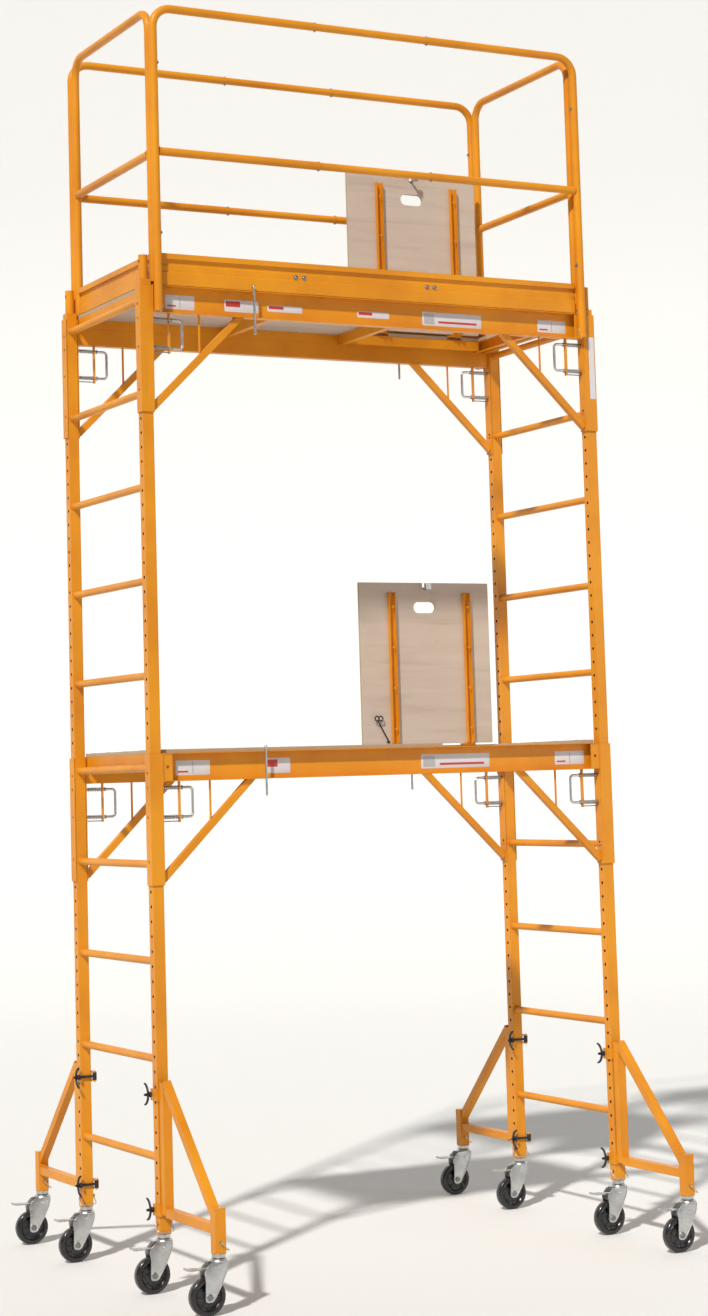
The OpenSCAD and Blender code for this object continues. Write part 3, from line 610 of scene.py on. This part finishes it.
for lv in ("lower", "upper"):
    z = ZD[lv]
    pb = f"platform_{lv}"
    hb = f"hatch_{lv}"
    # deck board
    d0, d1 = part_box(f"deck_board_{lv}")
    h0, h1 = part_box(f"hatch_board_{lv}")
    g0, g1 = h0.x - 0.004, h1.x + 0.004
    yr = 0.2995
    r = 0.006
    out = [(d0.x, d0.y), (g0, d0.y), (g0, yr)]
    bars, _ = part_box(f"hatch_bars_{lv}")
    bx0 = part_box(f"hatch_bars_{lv}")[0].x
    nx = [bx0 + 0.0105 + 0.0135 - 0.035, bx0 + 0.0105 + 0.0135 + 0.34 - 0.035]
    for q in nx:
        out += [(q, yr), (q, 0.325), (q + 0.070, 0.325), (q + 0.070, yr)]
    out += [(g1, yr), (g1, d0.y), (d1.x, d0.y), (d1.x, d1.y), (d0.x, d1.y)]
    board(f"deck_plywood_{lv}", out, [], d0.z, d1.z, "XY", pb, f"deck_board_{lv}", PLYX)
    # deck screws in rows over the cross members
    s = Build()
    for xx in (d0.x + 0.012, XM - 0.288, g0 - 0.014, g1 + 0.016, d1.x - 0.012):
        for yy in (-0.30, -0.15, 0.0, 0.15, 0.30):
            bolt_head(s, (xx, yy, d1.z - 0.0003), (0, 0, 1), 0.0055, 0.0016)
    s.done(f"deck_screws_{lv}", [ZINC_DARK], pb)
    # hatch board with its hand slot and latch notch
    cx = (h0.x + h1.x) / 2
    top = h1.z
    outer = [(h0.x + 0.003, h0.z), (h1.x - 0.003, h0.z), (h1.x, h0.z + 0.003), (h1.x, top - 0.003), (h1.x - 0.003, top), (cx + 0.008, top), (cx + 0.008, top - 0.028), (cx - 0.008, top - 0.028), (cx - 0.008, top), (h0.x + 0.003, top), (h0.x, top - 0.003), (h0.x, h0.z + 0.003)]
    slot_z = top - 0.098
    hole = rounded_rect(cx - 0.050, slot_z - 0.022, cx + 0.050, slot_z + 0.022, 0.0219, 8)
    board(f"hatch_plywood_{lv}", outer, [list(reversed(hole))], h0.y, h1.y, "XZ", hb, f"hatch_board_{lv}", PLY)
    # carriage bolts through bars and hatch
    s = Build()
    for q in (bx0 + 0.0105 + 0.0135, bx0 + 0.0105 + 0.0135 + 0.34):
        for zz in (0.06, 0.22, 0.38, 0.54):
            bolt_head(s, (q, h0.y - 0.0178, h0.z + zz), (0, -1, 0), 0.0040, 0.0022)
            bolt_head(s, (q, h1.y, h0.z + zz), (0, 1, 0), 0.0060, 0.0024)
    s.done(f"hatch_bolts_{lv}", [PAINT], hb)
    # lock pins: one smooth bent rod each, with its return springs and dust washers
    for e, sx, x in (("left", 1, XL), ("right", -1, XR)):
        p = Build()
        sp = Build()
        for sy in (-1, 1):
            y = sy * HW
            xo = x + sx * 0.145
            xt = x - sx * 0.0215
            r = 0.014
            za, zb = z - 0.120, z - 0.2216
            path = [(xt, y, za), (xo - sx * r, y, za)]
            path = [(xt, y, za)] + [(xt + (xo - sx * r - xt) * k / 6, y, za) for k in range(1, 7)]
            for k in range(1, 9):
                a = math.radians(90 * k / 8)
                path.append((xo - sx * r + sx * r * math.sin(a), y, za - r + r * math.cos(a)))
            for k in range(1, 5):
                path.append((xo, y, za - r + (zb - za + 2 * r) * k / 5))
            for k in range(0, 9):
                a = math.radians(90 * k / 8)
                path.append((xo - sx * r + sx * r * math.cos(a), y, zb + r - r * math.sin(a)))
            for k in range(1, 7):
                path.append((xo - sx * r + (xt - xo + sx * r) * k / 6, y, zb))
            p.tube(path, 0.0050, steps=20)
            for zz in (za, zb):
                p.revolve([(0.0052, -0.001), (0.0080, -0.001), (0.0080, 0.001), (0.0052, 0.001)], centre=(x + sx * 0.104, y, zz), axis="X", steps=24, mat=1)
                coil = []
                turns = 9
                for k in range(turns * 14 + 1):
                    a = 2 * math.pi * k / 14
                    coil.append((x + sx * (0.0268 + 0.0635 * k / (turns * 14)), y + 0.0074 * math.cos(a), zz + 0.0074 * math.sin(a)))
                sp.tube(coil, 0.0009, steps=6)
            gxx, wx = x + sx * 0.0965, x + sx * 0.0270
            sp.tube([(gxx, y, zb - 0.0065), (gxx, y, zb - 0.0125), (gxx - sx * 0.002, y, zb - 0.0145), (wx + sx * 0.002, y, zb - 0.0145), (wx, y, zb - 0.0125), (wx, y, zb - 0.0065)], 0.0020, steps=8)
        p.done(f"lock_pin_rods_{e}_{lv}", [ZINC, ZINC_DARK], f"pins_{e}_{lv}", [f"lock_pins_{e}_{lv}"], "zinc")
        sp.done(f"lock_pin_springs_{e}_{lv}", [ZINC_DARK], pb)
    # bracket welds and blank plates on both beams, end plate hook pins on the upper one
    wl = Build()
    hk = Build()
    lb = Build()
    for sy in (-1, 1):
        yo = sy * (HW + 0.0245)
        for e, sx, x in (("left", 1, XL), ("right", -1, XR)):
            xs = x + sx * 0.0252
            for zz0, zz1 in ((z - 0.107, z - 0.003),):
                pts = [(xs, yo - sy * 0.001 * (k % 2) * 0.4, zz0 + (zz1 - zz0) * k / 24) for k in range(25)]
                wl.tube(pts, 0.0019, steps=8)
            # end plate hook pin
            if lv == "upper":
                px, pz = x + sx * 0.0425, z - 0.054
                hk.cyl((px, yo - sy * 0.010, pz), (px, yo + sy * 0.020, pz), 0.0045)
                hook = [(px, yo + sy * 0.016, pz)] + [(px + sx * 0.012 * math.sin(math.radians(a)), yo + sy * 0.016, pz - 0.022 + 0.022 * math.cos(math.radians(a))) for a in range(20, 181, 20)]
                hk.tube(hook, 0.0028, steps=10)
            # brace foot weld
            bz = z - 0.436
            wl.tube([(x + sx * 0.0255, sy * HW - 0.011 + 0.022 * k / 10, bz + 0.052 + 0.0006 * (k % 2)) for k in range(11)], 0.0021, steps=8)
            wl.tube([(x + sx * 0.0255, sy * HW - 0.011 + 0.022 * k / 10, bz + 0.010 + 0.0006 * (k % 2)) for k in range(11)], 0.0021, steps=8)
        yl = sy * (HW + 0.0245 - 0.030 + 0.0008)
        # plates sit on the web inside the channel
        def plate(x0, x1, z0, z1, mat):
            a, b = sorted((yl - sy * 0.0006, yl + sy * 0.0006))
            lb.plate(rounded_rect(x0, z0, x1, z1, 0.004, 4), a, b, "XZ", bevel=0.0003, mat=mat)
        def bars_on(x0, x1, z0, z1, mat):
            a, b = sorted((yl + sy * 0.0005, yl + sy * 0.0010))
            lb.plate(rounded_rect(x0, z0, x1, z1, 0.0015, 3), a, b, "XZ", mat=mat)
        # x range, half height, kind; blank plates only, as plain colour fields
        if lv == "upper":
            rows = [(-0.839, -0.726, 0.026, 0), (-0.608, -0.473, 0.022, 1), (-0.437, -0.296, 0.012, 1), (-0.069, 0.065, 0.012, 1), (0.205, 0.460, 0.026, 2), (0.710, 0.836, 0.024, 0)]
        else:
            rows = [(-0.839, -0.708, 0.026, 0), (-0.487, -0.394, 0.027, 1), (0.140, 0.430, 0.026, 2), (0.716, 0.846, 0.025, 0)]
        for a0, a1, hh, kind in rows:
            x0, x1, zc = XM + a0, XM + a1, z - 0.053
            plate(x0, x1, zc - hh, zc + hh, 0)
            w_ = x1 - x0
            if kind == 0:
                bars_on(x0 + w_ * 0.06, x0 + w_ * 0.36, zc - hh * 0.62, zc - hh * 0.40, 1)
                bars_on(x0 + w_ * 0.485, x0 + w_ * 0.515, zc - hh * 0.8, zc + hh * 0.8, 2)
            elif kind == 1:
                bars_on(x0 + w_ * 0.04, x0 + w_ * 0.46, zc - hh * 0.15, zc + hh * 0.78, 1)
            else:
                bars_on(x0 + w_ * 0.03, x0 + w_ * 0.20, zc - hh * 0.75, zc + hh * 0.75, 2)
                bars_on(x0 + w_ * 0.27, x0 + w_ * 0.92, zc - hh * 0.55, zc - hh * 0.25, 1)
    wl.done(f"welds_platform_{lv}", [WELD], pb)
    if lv == "upper":
        hk.done("rail_hook_pins", [ZINC], pb)
    else:
        hk.bm.free()
    lb.done(f"blank_plates_{lv}", [WHITE, RED, GREY], pb)

# prop rod of the lower hatch: a thin rod with two rings at its free end
g = Build()
zl = ZD["lower"]
pa, pb_ = Vector((XM + 0.348, 0.273, zl + 0.030)), Vector((XM + 0.300, 0.273, zl + 0.114))
g.tube([pa, pa.lerp(pb_, 0.5), pb_], 0.0026, steps=10)
for k in (0, 1):
    c0 = Vector((XM + 0.2965 + 0.0175 * k, 0.273, zl + 0.1225))
    g.tube([c0 + Vector((0.0088 * math.cos(2 * math.pi * i / 24), 0, 0.0088 * math.sin(2 * math.pi * i / 24))) for i in range(24)], 0.0026, steps=8, closed=True)
g.cyl(pa + Vector((0, -0.003, 0)), pa + Vector((0, 0.0128, 0)), 0.0042)
g.done("hatch_prop_rod", [BLACK], "hatch_lower")
# blank plate on the upper right sleeve
g = Build()
g.plate(rounded_rect(XR - 0.004, ZD["upper"] - 0.330, XR + 0.020, ZD["upper"] - 0.090, 0.003, 3), -(HW + 0.0245) - 0.0006, -(HW + 0.0245) + 0.0002, "XZ", mat=0)
g.done("blank_plate_sleeve", [WHITE], "platform_upper")

# ---------------------------------------------------------------- guard rail fittings
ZU = ZD["upper"]
e0, e1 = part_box("guardrail_front")
GY = -(e0.y + 0.015)
f = Build()
bt = Build()
for sy in (-1, 1):
    y = sy * GY
    for zz in (ZU + 1.0, ZU + 0.478):
        for sx in (-1, 1):
            xc = XM + sx * 0.236
            bolt_head(bt, (xc, y, zz - 0.0142), (0, 0, -1), 0.0042, 0.0050)
            bolt_head(bt, (xc, y, zz + 0.0142), (0, 0, 1), 0.0042, 0.0030)
            f.revolve([(0.0142, -0.004), (0.0152, -0.0035), (0.0156, 0.0), (0.0152, 0.0035), (0.0142, 0.004)], centre=(xc, y, zz), axis="X", steps=40)
    for sx in (-1, 1):
        for zz in (ZU + 0.800, ZU + 0.185):
            bolt_head(bt, (XM + sx * (0.884 - 0.0148), y, zz), (-sx, 0, 0), 0.0050, 0.0060)
    # bolts on the toe board lips and seam plates
    yo = sy * (HW + 0.0220 - 0.005)
    for xs in (-0.283, 0.260):
        for d in ((-0.046, -0.012) if xs < 0 else (-0.042, -0.010)):
            bolt_head(bt, (XM + xs + d, yo, ZU + 0.062), (0, sy, 0), 0.0060, 0.0050)
f.done("rail_couplings", [PAINT], "platform_upper")
bt.done("rail_bolts", [ZINC_DARK], "platform_upper")
f = Build()
for s, x in ((-1, XM - 0.884), (1, XM + 0.884)):
    for sy in (-1, 1):
        ring(f, (x, sy * (HW - 0.0155), ZU + 0.478), "Y", 0.0152, 0.0020, seed=sy + 5)
f.done("end_rail_welds", [PAINT], "platform_upper")
f = Build()
for sy in (-1, 1):
    for sx in (-1, 1):
        ring(f, (XM + sx * (0.884 - 0.0155), sy * GY, ZU + 0.478), "X", 0.0152, 0.0020, seed=sx * 3 + sy)
f.done("side_rail_welds", [WELD], "platform_upper")

# ---------------------------------------------------------------- outrigger clamps
for name, x, s in CORNERS:
    c = Build()
    yh = s * (HW - 0.0255)
    for z in (0.274, 0.660):
        P = Matrix.Translation((x + 0.0315, yh, z)) @ (Matrix.Identity(4) if s < 0 else Matrix.Scale(-1, 4, (0, 1, 0)))
        c.revolve([(0.0041, -0.0133), (0.0074, -0.0133), (0.0080, -0.0125), (0.0080, 0.0125), (0.0074, 0.0133), (0.0041, 0.0133)], steps=32, matrix=P)
        c.cyl((-0.0072, 0, 0), (-0.0815, 0, 0), 0.0044, matrix=P)
        # thread crests near the nut
        for k in range(8):
            c.revolve([(0.0040, -0.0006), (0.0050, 0), (0.0040, 0.0006)], centre=(-0.0765 + 0.0012 * k, 0, 0), axis="X", steps=20, matrix=P)
        c.hexagon((-0.0562, 0, 0), (-0.0655, 0, 0), 0.0100, mat=0, matrix=P)
        # crescent lever: curved, tapered bar with rounded section
        pts, n = [], 28
        for k in range(n + 1):
            t = -1 + 2 * k / n
            a = t * math.radians(78)
            pts.append((-0.0700, 0.0300 - 0.0365 * math.cos(a), 0.0365 * math.sin(a)))
        for i in range(n):
            pass
        bmv = []
        o = bmesh.new()
        for k, q in enumerate(pts):
            t = abs(-1 + 2 * k / n)
            wv = 0.0066 * (1 - 0.55 * t * t)
            th = 0.0036
            a = (-1 + 2 * k / n) * math.radians(78)
            dirv = Vector((0, -math.cos(a), math.sin(a)))
            ringv = []
            for m_ in range(12):
                an = 2 * math.pi * m_ / 12
                ringv.append(o.verts.new(Vector(q) + Vector((th * math.cos(an), 0, 0)) + dirv * wv * math.sin(an)))
            bmv.append(ringv)
        for i in range(n):
            for m_ in range(12):
                o.faces.new((bmv[i][m_], bmv[i][(m_ + 1) % 12], bmv[i + 1][(m_ + 1) % 12], bmv[i + 1][m_]))
        o.faces.new(bmv[0])
        o.faces.new(bmv[-1])
        bmesh.ops.recalc_face_normals(o, faces=o.faces)
        c._take(o, 0, True, P)
    bmesh.ops.recalc_face_normals(c.bm, faces=c.bm.faces)
    c.done(f"clamp_levers_{name}", [BLACK], f"clamps_{name}", [f"clamps_{name}"], "black_steel")

# ---------------------------------------------------------------- stage, light, camera
me = bpy.data.meshes.new("backdrop")
bm = bmesh.new()
prof = [(-40.0, 0.0), (9.0, 0.0)] + [(9.0 + 8.0 * math.sin(math.radians(a)), 8.0 - 8.0 * math.cos(math.radians(a))) for a in range(6, 91, 6)] + [(17.0, 45.0)]
ya = 0.4868
rows = []
for d, h in prof:
    rows.append([bm.verts.new((d * math.sin(ya) + t * math.cos(ya), d * math.cos(ya) - t * math.sin(ya), h)) for t in (-60.0, 60.0)])
for p, q in zip(rows, rows[1:]):
    bm.faces.new((p[0], p[1], q[1], q[0])).smooth = True
bm.faces.ensure_lookup_table()
bm.normal_update()
if bm.faces[0].normal.z < 0:
    bmesh.ops.reverse_faces(bm, faces=bm.faces)
bm.to_mesh(me)
bm.free()
floor = bpy.data.objects.new("backdrop", me)
bpy.context.scene.collection.objects.link(floor)
m, nt, bsdf = new_mat("floor_pale")
bsdf.inputs["Base Color"].default_value = (0.74, 0.74, 0.73, 1)
bsdf.inputs["Roughness"].default_value = 0.95
bsdf.inputs["Specular IOR Level"].default_value = 0.1
# the wall is seen only from its front, so that it never hides the object from the other side
geo = nt.nodes.new("ShaderNodeNewGeometry")
clear = nt.nodes.new("ShaderNodeBsdfTransparent")
pick = nt.nodes.new("ShaderNodeMixShader")
nt.links.new(geo.outputs["Backfacing"], pick.inputs[0])
nt.links.new(bsdf.outputs["BSDF"], pick.inputs[1])
nt.links.new(clear.outputs["BSDF"], pick.inputs[2])
nt.links.new(pick.outputs[0], nt.nodes["Material Output"].inputs["Surface"])
me.materials.append(m)

scene = bpy.context.scene
world = bpy.data.worlds.new("studio") if scene.world is None else scene.world
scene.world = world
world.use_nodes = True
bg = world.node_tree.nodes.get("Background") or world.node_tree.nodes.new("ShaderNodeBackground")
bg.inputs["Color"].default_value = (0.94, 0.96, 1.0, 1)
bg.inputs["Strength"].default_value = 0.24


def area(name, loc, target, size, power, color=(1, 1, 1)):
    l = bpy.data.lights.new(name, "AREA")
    l.shape = "DISK"
    l.size = size
    l.energy = power
    l.color = color
    o = bpy.data.objects.new(name, l)
    o.location = loc
    o.rotation_euler = (Vector(target) - Vector(loc)).to_track_quat("-Z", "Y").to_euler()
    scene.collection.objects.link(o)
    return o


sun = bpy.data.lights.new("key", "SUN")
sun.energy = 3.5
sun.angle = math.radians(3)
sun.color = (1.0, 0.97, 0.92)
so = bpy.data.objects.new("key", sun)
so.rotation_euler = (Vector((0, 0, 0)) - Vector((-5.4, -4.65, 7.0))).to_track_quat("-Z", "Y").to_euler()
so.location = (-5, -4, 6)
scene.collection.objects.link(so)
area("fill", (5.0, -6.0, 3.0), (0, 0, 2.2), 4.0, 60, (0.95, 0.97, 1.0))

# camera: a long lens from the front left at standing eye height
YAW, PITCH, ROLL = 0.4868, 0.1000, -0.0295
FPX, CX, CY = 2563.06, 354.0, 520.0
LOC = Vector((-4.45799 + XM, -8.56654, 2.0820777 - 0.363))
fwd0 = Vector((math.sin(YAW), math.cos(YAW), 0))
right0 = Vector((math.cos(YAW), -math.sin(YAW), 0))
up0 = Vector((0, 0, 1))
fwd = fwd0 * math.cos(PITCH) + up0 * math.sin(PITCH)
up = -fwd0 * math.sin(PITCH) + up0 * math.cos(PITCH)
r2 = right0 * math.cos(ROLL) + up * math.sin(ROLL)
u2 = -right0 * math.sin(ROLL) + up * math.cos(ROLL)
cam = bpy.data.cameras.new("camera")
cam.sensor_fit = "VERTICAL"
cam.sensor_height = 36.0
cam.sensor_width = 36.0 * 708 / 1316
cam.lens = FPX / 1316 * 36.0
cam.shift_x = (354 - CX) / 1316
cam.shift_y = (CY - 658) / 1316
cam.clip_end = 200
co = bpy.data.objects.new("camera", cam)
mw = Matrix.Identity(4)
for i in range(3):
    mw[i][0], mw[i][1], mw[i][2], mw[i][3] = r2[i], u2[i], -fwd[i], LOC[i]
co.matrix_world = mw
scene.collection.objects.link(co)
scene.camera = co
scene.view_settings.view_transform = "Standard"

import json
